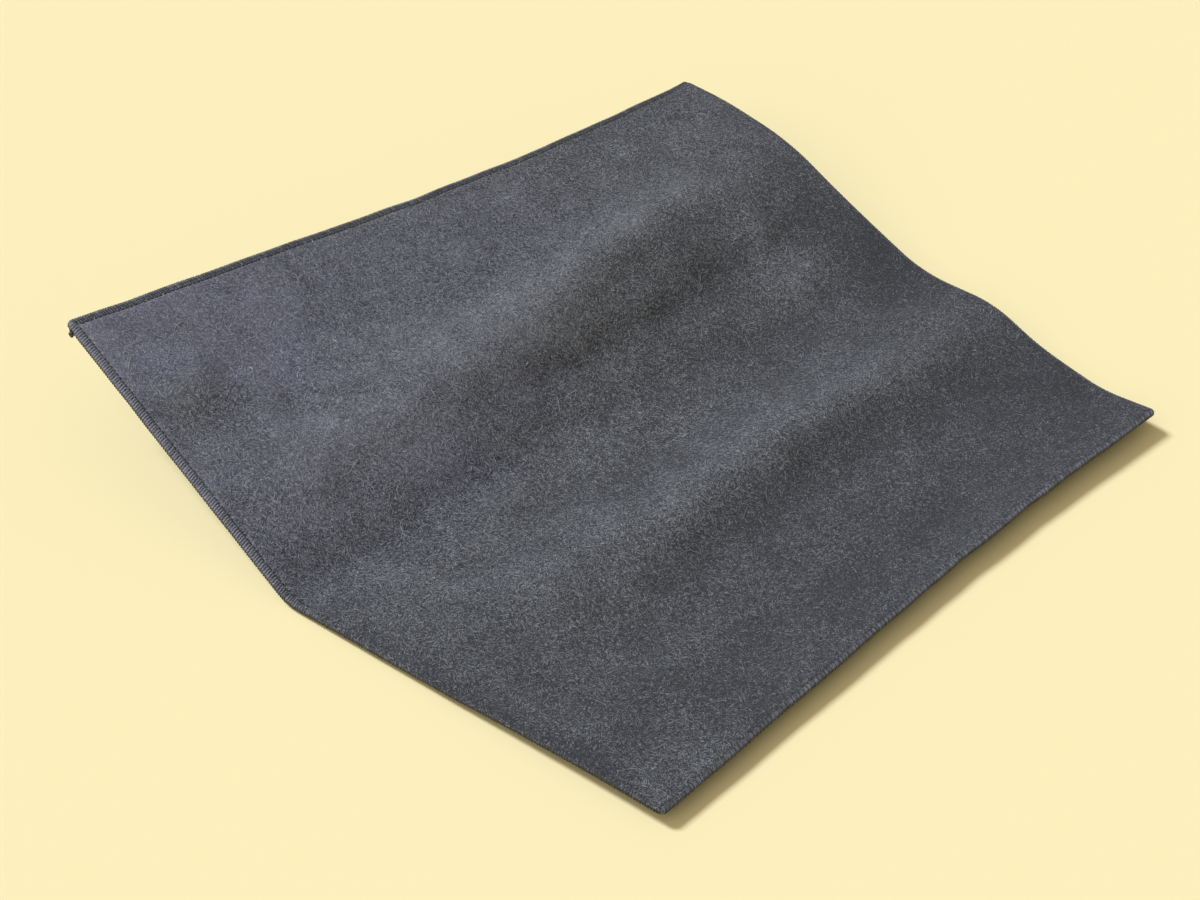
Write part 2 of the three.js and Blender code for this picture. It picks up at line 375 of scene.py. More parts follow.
    def blurred(self, table: Array, radius: float) -> Array:
        """Smooths a table, with its border values carried on outwards.

        Args:
            table: The table.
            radius: The radius over which it is smoothed.

        Returns:
            The smoothed table.
        """
        reach = math.ceil(3 * radius / self.step)
        weights = np.exp(-0.5 * (np.arange(-reach, reach + 1) * self.step / radius) ** 2)
        weights /= weights.sum()
        for axis in (0, 1):
            padded = np.pad(table, [(reach, reach) if i == axis else (0, 0) for i in (0, 1)], "edge")
            table = np.apply_along_axis(np.convolve, axis, padded, weights, "valid")
        return table

    def plan_length(self, height: Array, axis: int, still: float) -> Array:
        """Lengths on the desk from a line that stays put, shorter where the pad climbs.

        Args:
            height: The table of heights.
            axis: The table's axis along which the lengths run.
            still: The place of the line that stays put.

        Returns:
            A table of lengths.
        """
        rise = np.diff(height, axis=axis)
        lengths = np.cumsum(np.sqrt(np.maximum(self.step**2 - rise**2, 0)), axis=axis)
        lengths = np.concatenate([np.zeros_like(np.take(height, [0], axis)), lengths], axis)
        return lengths - np.take(lengths, [round((still + self.margin) / self.step)], axis)

    def kink(self, u: Array, v: Array) -> Array:
        """How far the crease of the valley pushes the pad out at the near side.

        Args:
            u: Places along the pad.
            v: Places from the front side.

        Returns:
            The push at each place.
        """
        place = self.depth * FOLDS[VALLEY].place[0] / 100
        turn = 1 / place + 1 / (self.depth - place)
        share = v / place - turn * self.rounded_ramp(v - place, self.kink_rounding)
        return self.kink_reach * (1 - u / self.length) * share

    def shift_to_solids(self) -> Array:
        """The step from this form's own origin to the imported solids' origin, from the felt's box.

        Returns:
            The step, which is level.
        """
        inset = self.solid_inset
        along, across = (
            np.linspace(inset, total - inset, round(total / self.outline_step) + 1)
            for total in (self.length, self.depth)
        )
        edges = [(along, inset), (along, self.depth - inset), (inset, across), (self.length - inset, across)]
        heights = (self.backing + self.bond, self.thickness)
        points = np.concatenate([self.lay(u, v, n) for u, v in edges for n in heights])
        low, high = (np.array(corner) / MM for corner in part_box("felt_face_sheet"))
        shift = (low + high) / 2 - (points.min(0) + points.max(0)) / 2
        shift[2] = 0.0
        return shift

    def sampled(self, table: Array, u: Array, v: Array) -> Array:
        """Values of a table between its grid points.

        Args:
            table: The table, with one or more values at each grid point.
            u: Places along the pad.
            v: Places from the front side.

        Returns:
            The values at each place.
        """
        along = (u + self.margin) / self.step
        across = (v + self.margin) / self.step
        i = np.clip(along.astype(int), 0, table.shape[0] - 2)
        j = np.clip(across.astype(int), 0, table.shape[1] - 2)
        along = (along - i)[..., None]
        across = (across - j)[..., None]
        low = table[i, j] * (1 - along) + table[i + 1, j] * along
        high = table[i, j + 1] * (1 - along) + table[i + 1, j + 1] * along
        return low * (1 - across) + high * across

    def lay(self, u: Array | float, v: Array | float, n: Array | float) -> Array:
        """Lays flat points on the wavy form.

        Args:
            u: Places along the pad.
            v: Places from the front side.
            n: Heights over the underside.

        Returns:
            The points on the desk, in millimetres in the solids' frame.
        """
        u, v, n = np.broadcast_arrays(*(np.asarray(x, float) for x in (u, v, n)))
        return self.sampled(self.places, u, v) + n[..., None] * self.sampled(self.normals, u, v) + self.shift

    def round_corners(self, u: Array, v: Array) -> tuple[Array, Array]:
        """Moves flat points near the four corners in, so that a square outline becomes a rounded one.

        Args:
            u: Places along the pad.
            v: Places from the front side.

        Returns:
            The places u and v after the move.
        """
        centre_u = np.clip(u, self.corner_radius, self.length - self.corner_radius)
        centre_v = np.clip(v, self.corner_radius, self.depth - self.corner_radius)
        out_u = u - centre_u
        out_v = v - centre_v
        reach = np.hypot(out_u, out_v)
        keep = np.where(reach > 0, np.maximum(abs(out_u), abs(out_v)) / np.maximum(reach, TINY), 1.0)
        return centre_u + out_u * keep, centre_v + out_v * keep


@dataclass(frozen=True)
class Mottle:
    """One layer of uneven tone.

    spread is half the range of its noise that fills -0.5 to 0.5, and share is what it adds to the tone.
    """

    size_mm: float
    detail: float
    spread: float
    share: float


@dataclass(frozen=True)
class BrushedFelt:
    """Brushed wool felt: short matted fibres in every direction, with an uneven, cloudy pile.

    To the eye it is matt and mottled at random in irregular patches and clouds, with painted light and shade:
    lighter on the pad's crests and darker in its hollows, lighter and bluer towards the near back corner,
    darker towards the front and where it is brushed over the near edge, and lighter or darker in listed
    patches. The fibres are drawn about ten times as thick as real wool, so that they show.
    """

    name: str = "brushed_wool_felt"
    dark: str = "#36383d"
    light: str = "#a3a7b1"
    bluish: str = "#8a86ac"
    sheen: str = "#b4b6cc"
    tone: float = 0.335
    patches: Mottle = Mottle(size_mm=40.0, detail=3.0, spread=0.18, share=0.11)
    clouds: Mottle = Mottle(size_mm=13.0, detail=4.0, spread=0.2, share=0.1)
    grain: Mottle = Mottle(size_mm=0.5, detail=2.0, spread=0.3, share=0.35)
    fibre_share: float = 0.85
    fibre_range: Pair = (0.5, 0.74)
    fibre_cells_mm: Pair = (2.2, 3.74)
    fibre_length_mm: float = 2.4
    fibre_width_mm: float = 0.45
    curl_mm: float = 2.5
    curl_cell_mm: float = 6.0
    # Shares of the painted shade in hollows and painted light on crests, and of the painted light and shade
    # across the pad; where that painted light is strong the felt is also tinted bluer.
    bend_shade_share: float = 0.06
    painted_light_share: float = 0.16
    blue_range: Pair = (0.3, 1.6)
    blue_share: float = 0.5
    relief_grain: float = 0.5
    relief_mm: float = 0.07

    def mottling(self, tree: NodeTree, place: Node | NodeSocket, layer: Mottle) -> Node:
        """Builds one layer of the mottling.

        Args:
            tree: The material's node tree.
            place: The coordinates.
            layer: The layer.

        Returns:
            A node that gives about -0.5 to 0.5.
        """
        spots = {"Vector": place, "Scale": per_mm(layer.size_mm), "Detail": layer.detail, "Roughness": 0.6}
        noise = add_node(tree, "TexNoise", spots)
        low, high = 0.5 - layer.spread, 0.5 + layer.spread
        bounds = {"From Min": low, "From Max": high, "To Min": -0.5, "To Max": 0.5}
        return add_node(tree, "MapRange", {"Value": noise, **bounds})

    def fibres(self, tree: NodeTree, place: Node, cell_mm: float) -> Node:
        """Builds short streaks whose direction changes from one small cell to the next.

        Args:
            tree: The material's node tree.
            place: The coordinates.
            cell_mm: Size of a cell.

        Returns:
            A node that gives the streaks' brightness, from 0 to 1.
        """
        cells = add_node(tree, "TexVoronoi", {"Vector": place, "Scale": per_mm(cell_mm)})
        parts = add_node(tree, "SeparateColor", {0: cells.outputs["Color"]})
        angle = add_node(tree, "Math", {0: parts, 1: math.pi}, operation="MULTIPLY")
        turned = add_node(tree, "VectorRotate", {"Vector": place, "Angle": angle}, rotation_type="Z_AXIS")
        scale = (per_mm(self.fibre_length_mm), per_mm(self.fibre_width_mm), per_mm(self.fibre_length_mm))
        stretched = add_node(tree, "Mapping", {"Vector": turned, "Scale": scale})
        streaks = {"Vector": stretched, "Scale": 1.0, "Detail": 1.5, "Roughness": 0.6}
        return add_node(tree, "TexNoise", streaks)

    def material(self) -> Material:
        """Builds the felt's material, from the piece's own attributes of painted light and shade.

        Returns:
            The material.
        """
        material, tree, shader = blank_material(self.name)
        place = add_node(tree, "TexCoord").outputs["Object"]
        cells = {"Vector": place, "Scale": per_mm(self.curl_cell_mm), "Detail": 1.0}
        curl = add_node(tree, "TexNoise", cells).outputs["Color"]
        centred = add_node(tree, "VectorMath", {0: curl, 1: (0.5, 0.5, 0.5)}, operation="SUBTRACT")
        pull = add_node(tree, "VectorMath", {0: centred, "Scale": self.curl_mm * MM}, operation="SCALE")
        curled = add_node(tree, "VectorMath", {0: place, 1: pull}, operation="ADD")

        short, long = (self.fibres(tree, curled, cell) for cell in self.fibre_cells_mm)
        upper = add_node(tree, "Math", {0: short, 1: long}, operation="MAXIMUM")
        low, high = self.fibre_range
        bounds = {"From Min": low, "From Max": high, "To Min": -0.5, "To Max": 0.5}
        fibre = add_node(tree, "MapRange", {"Value": upper, **bounds})
        grain = self.mottling(tree, curled, self.grain)
        # Painted shade in the pad's hollows and painted light on its crests, and painted light and shade
        # across the pad.
        bend_shade = add_node(tree, "Attribute", attribute_name="bend_shade").outputs["Fac"]
        fade = add_node(tree, "Attribute", attribute_name="fade").outputs["Fac"]
        layers = (
            (self.mottling(tree, place, self.patches), self.patches.share),
            (self.mottling(tree, place, self.clouds), self.clouds.share),
            (fibre, self.fibre_share),
            (grain, self.grain.share),
            (bend_shade, self.bend_shade_share),
            (fade, self.painted_light_share),
        )
        tone = self.tone
        for layer, share in layers:
            tone = add_node(tree, "Math", {0: layer, 1: share, 2: tone}, operation="MULTIPLY_ADD")
        tones = {0: tone, 6: linear(self.dark), 7: linear(self.light)}
        grey = add_node(tree, "Mix", tones, data_type="RGBA").outputs[2]
        # A bluer tint where the painted light is strong.
        low, high = self.blue_range
        bounds = {"From Min": low, "From Max": high, "To Max": self.blue_share}
        blue = add_node(tree, "MapRange", {"Value": fade, **bounds})
        tints = {0: blue, 6: grey, 7: linear(self.bluish)}
        tinted = add_node(tree, "Mix", tints, data_type="RGBA", blend_type="SOFT_LIGHT")

        relief = add_node(tree, "Math", {0: grain, 1: self.relief_grain, 2: upper}, operation="MULTIPLY_ADD")
        bump = add_node(tree, "Bump", {"Height": relief, "Strength": 0.8, "Distance": self.relief_mm * MM})
        matt = {"Roughness": 0.95, "Specular IOR Level": 0.1}
        sheen = {"Sheen Weight": 0.12, "Sheen Roughness": 0.6, "Sheen Tint": linear(self.sheen)}
        feed(tree, shader, {"Base Color": tinted.outputs[2], "Normal": bump, **matt, **sheen})
        return material


@dataclass(frozen=True)
class WoolFibre:
    """Loose wool fibres: matt hairs, each lot of one shade with a little variation, with the felt's painted
    light and shade.
    """

    name: str
    colour: str
    deep: str
    spot_mm: float = 7.0
    # Share of the felt's painted light and shade that the fibres take.
    painted_light_share: float = 0.5

    def material(self) -> Material:
        """Builds the fibres' material, from the piece's own attribute of painted light and shade.

        Returns:
            The material.
        """
        material, tree, shader = blank_material(self.name)
        place = add_node(tree, "TexCoord").outputs["Object"]
        spots = add_node(tree, "TexNoise", {"Vector": place, "Scale": per_mm(self.spot_mm), "Detail": 2.0})
        # The felt's painted light and shade, shared by the fibres.
        fade = add_node(tree, "Attribute", attribute_name="fade").outputs["Fac"]
        tone = add_node(tree, "Math", {0: fade, 1: self.painted_light_share, 2: spots}, operation="MULTIPLY_ADD")
        tones = {0: tone, 6: linear(self.deep), 7: linear(self.colour)}
        colour = add_node(tree, "Mix", tones, data_type="RGBA", clamp_factor=False).outputs[2]
        feed(tree, shader, {"Base Color": colour, "Roughness": 0.95, "Specular IOR Level": 0.1})
        return material


@dataclass(frozen=True)
class SpunThread:
    """Spun sewing thread: fine plies twisted together, matt, each stitch a little lighter or darker, at
    random and with the painted light and shade that its edge gives it.
    """

    name: str
    colour: str
    deep: str
    ply_share: float = 0.18
    fuzz_mm: float = 0.5
    fuzz_share: float = 0.3
    relief_mm: float = 0.12

    def material(self) -> Material:
        """Builds the thread's material, from the piece's own shade and twist attributes.

        Returns:
            The material.
        """
        material, tree, shader = blank_material(self.name)
        tone = add_node(tree, "Attribute", attribute_name="shade").outputs["Fac"]
        twist = add_node(tree, "Attribute", attribute_name="twist").outputs["Fac"]
        plies = add_node(tree, "Math", {0: twist}, operation="SINE")
        place = add_node(tree, "TexCoord").outputs["Object"]
        fuzz = add_node(tree, "TexNoise", {"Vector": place, "Scale": per_mm(self.fuzz_mm), "Detail": 2.0})
        for layer, share in ((plies, self.ply_share), (fuzz, self.fuzz_share)):
            tone = add_node(tree, "Math", {0: layer, 1: share, 2: tone}, operation="MULTIPLY_ADD")
        tones = {0: tone, 6: linear(self.deep), 7: linear(self.colour)}
        colour = add_node(tree, "Mix", tones, data_type="RGBA").outputs[2]
        bump = add_node(tree, "Bump", {"Height": plies, "Strength": 0.5, "Distance": self.relief_mm * MM})
        matt = {"Roughness": 0.8, "Specular IOR Level": 0.3, "Sheen Weight": 0.1}
        feed(tree, shader, {"Base Color": colour, "Normal": bump, **matt})
        return material


@dataclass(frozen=True)
class NonSlipBacking:
    """Foamed rubber backing, cast with fine round dimples: dark, matt and slightly patchy."""

    name: str = "dimpled_foam_rubber"
    colour: str = "#343633"
    deep: str = "#232422"
    dimple_mm: float = 2.4
    dimple_range: Pair = (0.2, 0.42)
    dimple_share: float = 0.4
    dimple_depth_mm: float = 0.3
    patch_mm: float = 26.0

    def material(self) -> Material:
        """Builds the backing's material.

        Returns:
            The material.
        """
        material, tree, shader = blank_material(self.name)
        place = add_node(tree, "TexCoord").outputs["Object"]
        flat = add_node(tree, "Mapping", {"Vector": place, "Scale": (1.0, 1.0, 0.0)})
        dots = {"Vector": flat, "Scale": per_mm(self.dimple_mm), "Randomness": 0.0}
        low, high = self.dimple_range
        rims = {"Value": add_node(tree, "TexVoronoi", dots), "From Min": low, "From Max": high}
        dimple = add_node(tree, "MapRange", rims, interpolation_type="SMOOTHSTEP")
        patch = add_node(tree, "TexNoise", {"Vector": place, "Scale": per_mm(self.patch_mm), "Detail": 4.0})
        tone = add_node(tree, "Math", {0: dimple, 1: self.dimple_share, 2: patch}, operation="MULTIPLY_ADD")
        tones = {0: tone, 6: linear(self.deep), 7: linear(self.colour)}
        colour = add_node(tree, "Mix", tones, data_type="RGBA").outputs[2]
        depth = self.dimple_depth_mm * MM
        bump = add_node(tree, "Bump", {"Height": dimple, "Strength": 0.6, "Distance": depth})
        matt = {"Roughness": 0.85, "Specular IOR Level": 0.3}
        feed(tree, shader, {"Base Color": colour, "Normal": bump, **matt})
        return material


def copies(shape: BMesh, count: int) -> None:
    """Copies all that a bmesh holds until it holds it count times, one after the other.

    Args:
        shape: The bmesh, with one shape in it.
        count: How many of the shape there will be.
    """
    sizes = [len(kind) for kind in (shape.verts, shape.edges, shape.faces)]
    made = 1
    while made < count:
        taken = min(made, count - made)
        geometry = []
        for kind, size in zip((shape.verts, shape.edges, shape.faces), sizes):
            kind.ensure_lookup_table()
            geometry += kind[: taken * size]
        bmesh.ops.duplicate(shape, geom=geometry)
        made += taken


def tube(rings: int, sides: int) -> BMesh:
    """A closed straight tube of that many rings, whose vertices run ring by ring.

    Args:
        rings: Number of rings.
        sides: Number of sides.

    Returns:
        A new bmesh with the tube, of radius 1 and with its rings 1 apart along z.
    """
    shape = bmesh.new()
    bmesh.ops.create_circle(shape, cap_ends=True, segments=sides, radius=1.0)
    shape.faces.ensure_lookup_table()
    shape.faces[0].normal_flip()
    ends = shape.edges[:]
    for _ in range(rings - 1):
        made = bmesh.ops.extrude_edge_only(shape, edges=ends)["geom"]
        moved = [item for item in made if isinstance(item, BMVert)]
        edges = [item for item in made if isinstance(item, BMEdge)]
        ends = [edge for edge in edges if all(vert in moved for vert in edge.verts)]
        bmesh.ops.translate(shape, vec=(0, 0, 1), verts=moved)
    bmesh.ops.edgeloop_fill(shape, edges=ends)
    bmesh.ops.recalc_face_normals(shape, faces=shape.faces)
    return shape


def finished(
    shape: BMesh, name: str, points: Array, material: Material, smooth: bool = True
) -> Object:
    """Turns a bmesh to a piece that rides on the pad.

    Args:
        shape: The bmesh, which is freed.
        name: The piece's name.
        points: Where its vertices go, in millimetres.
        material: The piece's material.
        smooth: Whether its faces are shaded as one round surface.

    Returns:
        The piece's object.
    """
    mesh = bpy.data.meshes.new(name)
    shape.to_mesh(mesh)
    shape.free()
    mesh.vertices.foreach_set("co", (points * MM).astype(np.float32).ravel())
    mesh.polygons.foreach_set("use_smooth", np.full(len(mesh.polygons), smooth))
    mesh.materials.append(material)
    mesh.update()
    piece = bpy.data.objects.new(name, mesh)
    bpy.context.scene.collection.objects.link(piece)
    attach(piece, BODY)
    return piece


def give_attribute(piece: Object, name: str, values: Array) -> None:
    """Writes one number for each vertex of a piece, for its material to read."""
    attribute = piece.data.attributes.new(name, "FLOAT", "POINT")
    attribute.data.foreach_set("value", np.asarray(values, np.float32).ravel())


def swept(path: Array, radius: Array | float, sides: int, first: float = 0.0) -> Array:
    """Places of a tube's rings round a path.

    Args:
        path: Points of the paths, shaped (tubes, rings, 3).
        radius: Radius of each ring, or of all.
        sides: Number of sides of the tube.
        first: Angle of a ring's first point from level.

    Returns:
        Points shaped (tubes, rings, sides, 3).
    """
    heading = np.gradient(path, axis=1)
    heading /= np.linalg.norm(heading, axis=-1, keepdims=True)
    steep = abs(heading[..., 2:]) > STEEP
    reference = np.where(steep, [[[1.0, 0.0, 0.0]]], [[[0.0, 0.0, 1.0]]])
    across = np.cross(heading, reference)
    across /= np.linalg.norm(across, axis=-1, keepdims=True)
    up = np.cross(across, heading)
    turn = first + np.arange(sides) * 2 * math.pi / sides
    ring = across[..., None, :] * np.cos(turn)[:, None] + up[..., None, :] * np.sin(turn)[:, None]
    return path[..., None, :] + ring * np.broadcast_to(radius, path.shape[:2])[..., None, None]


def strands(name: str, points: Array, material: Material, smooth: bool = True) -> Object:
    """Makes one piece of many tubes.

    Args:
        name: The piece's name.
        points: Where the rings go, shaped (tubes, rings, sides, 3).
        material: The piece's material.
        smooth: Whether the tubes are shaded round.

    Returns:
        The piece's object.
    """
    count, rings, sides, _ = points.shape
    shape = tube(rings, sides)
    copies(shape, count)
    return finished(shape, name, points.reshape(-1, 3), material, smooth)


@dataclass
class Sheet:
    """A sheet of the pad: a fine grid between two heights, laid on the form."""

    form: PadForm
    border: tuple[float, ...] = (1.0, 1.6, 2.4, 3.3, 4.2, 4.8, 5.25, 5.7, 6.15, 6.7, 7.5, 8.6, 10.0)
    pitch: float = 2.1

    def stations(self, total: float) -> Array:
        """Places of the grid's lines along a side, close together at the sewn border.

        Args:
            total: Length of the side.

        Returns:
            The places.
        """
        first, last = self.border[-1], total - self.border[-1]
        middle = np.linspace(first, last, round((last - first) / self.pitch) + 1)[1:-1]
        return np.concatenate([self.border, middle, total - np.array(self.border[::-1])])

    def grid(self) -> tuple[BMesh, Array, Array, Array]:
        """A closed flat sheet.

        Returns:
            The bmesh, the flat places u and v of its vertices, and whether each is on the upper face.
        """
        along = self.stations(self.form.length)
        across = self.stations(self.form.depth)
        shape = bmesh.new()
        bmesh.ops.create_grid(shape, x_segments=len(along) - 1, y_segments=len(across) - 1, size=0.5)
        made = bmesh.ops.extrude_face_region(shape, geom=shape.faces[:], use_keep_orig=True)["geom"]
        upper = [item for item in made if isinstance(item, BMVert)]
        bmesh.ops.translate(shape, vec=(0, 0, 1), verts=upper)
        bmesh.ops.recalc_face_normals(shape, faces=shape.faces)
        spots = np.array([vert.co for vert in shape.verts])
        column = np.rint((spots[:, 0] + 0.5) * (len(along) - 1)).astype(int)
        row = np.rint((spots[:, 1] + 0.5) * (len(across) - 1)).astype(int)
        u, v = self.form.round_corners(along[column], across[row])
        return shape, u, v, spots[:, 2] > 0.5


@dataclass(frozen=True)
class PaintedLightAndShadePatch:
    """A patch of painted light on the felt, or of painted shade where its strength is below zero.

    Its place and its reach along and across the pad are in millimetres.
    """

    place: Pair
    reach: Pair
    strength: float

    def patch_light_and_shade(self, u: Array, v: Array) -> Array:
        """How much painted light the patch gives the felt at flat places, below zero for painted shade."""
        along = bell(u - self.place[0], self.reach[0])
        return self.strength * along * bell(v - self.place[1], self.reach[1])


# Patches of painted light and shade on the felt.
PAINTED_LIGHT_AND_SHADE_PATCHES = (
    PaintedLightAndShadePatch((40, 142), (35, 30), -0.8),
    PaintedLightAndShadePatch((120, 228), (26, 22), 1.0),
    PaintedLightAndShadePatch((26, 327), (28, 22), -1.3),
    PaintedLightAndShadePatch((315, 291), (75, 14), -0.7),
    PaintedLightAndShadePatch((272, 127), (45, 13), -0.6),
    PaintedLightAndShadePatch((138, 186), (28, 16), -0.7),
    PaintedLightAndShadePatch((384, 232), (24, 34), 0.9),
    PaintedLightAndShadePatch((188, 252), (28, 14), 0.7),
    PaintedLightAndShadePatch((74, 338), (24, 20), 0.6),
    PaintedLightAndShadePatch((228, 47), (40, 10), -0.25),
    PaintedLightAndShadePatch((446, 210), (34, 55), -1.0),
    PaintedLightAndShadePatch((446, 60), (25, 40), -0.75),
    PaintedLightAndShadePatch((28, 12), (36, 22), 0.9),
    PaintedLightAndShadePatch((225, 397), (260, 16), -0.55),
    PaintedLightAndShadePatch((72, 84), (26, 18), 0.35),
)


@dataclass
class FeltFace(Sheet):
    """The felt on the pad's face: stitched down at its border, and brushed over the near front edge."""

    border: tuple[float, ...] = (
        0.45, 0.7, 1.1, 1.7, 2.4, 3.1, 3.6, 4.0, 4.4, 4.7, 5.0, 5.4, 6.0, 6.9, 8.3, 10.4
    )
    needle_line: float = 4.7
    groove_width: float = 0.4
    groove_depth: float = 0.45
    edge_drop: float = 1.1
    edge_round: float = 1.4
    puff_height: float = 0.3
    puff_place: float = 7.7
    puff_width: float = 2.4
    pile_height: float = 0.95
    pile_width: float = 8.0
    pile_drop: float = 1.6
    pile_round: float = 2.4
    pile_reach: float = 15.0
    pile_blend: float = 5.0
    over_edge: float = 0.3
    short_of_edge: float = 1.4
    pull_reach: float = 3.0
    pull_blend: float = 2.5
    roll_from: float = 0.045
    roll_to: float = 0.51
    roll_blend: float = 0.03
    # Painted shade on the felt brushed over the near edge, and how far along the pad it reaches.
    roll_painted_shade: float = 1.2
    roll_painted_shade_width: float = 18.0
    # Painted light and shade across the pad: lighter towards the back, most towards the near back corner,
    # darker towards the front.
    back_painted_light: float = 0.77
    near_back_painted_light: float = 2.56
    front_painted_shade: float = -0.91

    def rolled(self, v: Array) -> Array:
        """How far the pile is brushed over the near edge.

        Args:
            v: Places from the front side.

        Returns:
            From 0 to 1 at each place.
        """
        share = v / self.form.depth
        begun = np.clip((share - self.roll_from) / self.roll_blend, 0, 1)
        return begun * np.clip((self.roll_to - share) / self.roll_blend, 0, 1)

    def pile(self, depth: Array, start: float) -> Array:
        """Height of pile that is brushed over the stitches.

        Args:
            depth: Depths in from the edge.
            start: The depth at which the pile starts.

        Returns:
            The heights over the pad's underside.
        """
        over = np.clip((depth - start) / self.pile_round, 0, 1)
        crown = self.pile_height * bell(depth, self.pile_width)
        return self.form.thickness + crown - self.pile_drop * (1 - over) ** 2

    def fade(self, u: Array, v: Array) -> Array:
        """Painted light and shade on the felt: lightest towards the near back corner, darkest where it is
        brushed over the near edge, with listed patches of both.

        Args:
            u: Places along the pad.
            v: Places from the front side.

        Returns:
            The painted light at each place, below zero where it is painted shade.
        """
        near = 1 - u / self.form.length
        # Painted light towards the back and the near back corner, painted shade towards the front.
        even = (self.back_painted_light + self.near_back_painted_light * near) * v / self.form.depth + self.front_painted_shade
        # Patches of painted light and shade.
        even = even + sum(patch.patch_light_and_shade(u, v) for patch in PAINTED_LIGHT_AND_SHADE_PATCHES)
        # Painted shade where the felt is brushed over the near edge.
        return even - self.roll_painted_shade * self.rolled(v) * np.clip(1 - u / self.roll_painted_shade_width, 0, 1)

    def top(self, u: Array, v: Array) -> Array:
        """Height of the felt's upper face over the pad's underside.

        Args:
            u: Places along the pad.
            v: Places from the front side.

        Returns:
            The height at each place.
        """
        form = self.form
        front = np.minimum(v, form.length - u)
        to_edge = form.to_edge(u, v)
        groove = self.groove_depth * bell(to_edge - self.needle_line, self.groove_width)
        puff = self.puff_height * bell(to_edge - self.puff_place, self.puff_width)
        inwards = np.clip((to_edge - self.border[0]) / self.edge_round, 0, 1)
        plain = form.thickness - groove + puff - self.edge_drop * (1 - inwards) ** 2
        fringe = np.where(front < self.pile_reach, self.pile(front, self.short_of_edge), 0)
        plain = np.maximum(plain, fringe)
        share = self.rolled(v) * np.clip((self.pile_reach - u) / self.pile_blend, 0, 1)
        return plain * (1 - share) + np.maximum(self.pile(u, self.over_edge), plain) * share

    def build(self, material: Material) -> Object:
        """Makes the felt.

        Args:
            material: The felt's material.

        Returns:
            The piece.
        """
        shape, u, v, upper = self.grid()
        pulled = self.rolled(v) * np.clip((self.pull_reach - u) / self.pull_blend, 0, 1)
        u = u - (self.border[0] - self.over_edge) * pulled
        n = np.where(upper, self.top(u, v), self.form.backing + self.form.bond)
        piece = finished(shape, "felt_face", self.form.lay(u, v, n), material)
        # Painted shade in the hollows and painted light on the crests, from how the pad bends.
        give_attribute(piece, "bend_shade", self.form.sampled(self.form.bending, u, v))
        # Painted light and shade across the felt.
        give_attribute(piece, "fade", self.fade(u, v))
        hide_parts("felt_face_sheet")
        return piece


@dataclass
class Backing(Sheet):
    """The non-slip backing under the felt."""

    pitch: float = 3.2

    def build(self, material: Material) -> Object:
        """Makes the backing.

        Args:
            material: The backing's material.

        Returns:
            The piece.
        """
        shape, u, v, upper = self.grid()
        n = np.where(upper, self.form.backing, 0.0)
        piece = finished(shape, "non_slip_backing", self.form.lay(u, v, n), material)
        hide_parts("backing_sheet")
        return piece


@dataclass
class LooseFibres:
    """One lot of loose wool fibres, matted into the felt or lying on it."""

    form: PadForm
    felt: FeltFace
    name: str
    count: int
    length: Pair
    radius: float
    seed: int
    rings: int = 3
    sides: int = 3
    curl: float = 1.3
    taper: float = 0.5
    lift: Pair = (0.0, 0.08)
    sunk: float = 0.12
    margin: float = 1.0

    def build(self, material: Material) -> Object:
        """Makes all the lot's fibres as one piece.

        Args:
            material: The fibres' material.

        Returns:
            The piece.
        """
        draws = np.random.default_rng(self.seed)
        form = self.form
        u = draws.uniform(self.margin, form.length - self.margin, self.count)
        v = draws.uniform(self.margin, form.depth - self.margin, self.count)
        heading = draws.uniform(0, 2 * math.pi, self.count)
        bend = draws.normal(0, self.curl, self.count)
        length = draws.uniform(*self.length, self.count)
        lift = draws.uniform(*self.lift, self.count)
        steps = np.linspace(-0.5, 0.5, self.rings)
        turn = heading[:, None] + bend[:, None] * steps
        walk = length[:, None] / (self.rings - 1)
        inset = self.margin / 2
        path_u = np.clip(u[:, None] + np.cumsum(np.cos(turn) * walk, 1), inset, form.length - inset)
        path_v = np.clip(v[:, None] + np.cumsum(np.sin(turn) * walk, 1), inset, form.depth - inset)
        rise = (lift[:, None] + self.sunk) * (1 - (2 * steps) ** 2) - self.sunk
        path = form.lay(path_u, path_v, self.felt.top(path_u, path_v) + rise)
        radii = self.radius * (1 - self.taper * abs(2 * steps))
        flat_top = math.pi / 2 - math.pi / self.sides
        points = swept(path, radii[None, :], self.sides, flat_top)
        piece = strands(self.name, points, material, smooth=False)
        # The fibres take the felt's painted light and shade.
        give_attribute(piece, "fade", np.repeat(self.felt.fade(path_u, path_v).ravel(), self.sides))
        return piece


PLIES = 2
TWIST_PER_RING = 2.6


def colour_thread(piece: Object, shades: Array, along: Array, sides: int) -> None:
    """Gives each stitch of a piece its shade, and its thread the turns of its plies.

    Args:
        piece: The piece.
        shades: One shade for each stitch.
        along: What each ring of a stitch adds to its shade.
        sides: Number of sides of the thread.
    """
    give_attribute(piece, "shade", np.repeat((shades[:, None] + along).ravel(), sides))
    round_thread = np.arange(sides) * 2 * math.pi / sides * PLIES
    turn = np.arange(len(along))[:, None] * TWIST_PER_RING + round_thread
    give_attribute(piece, "twist", np.tile(turn.ravel(), len(shades)))


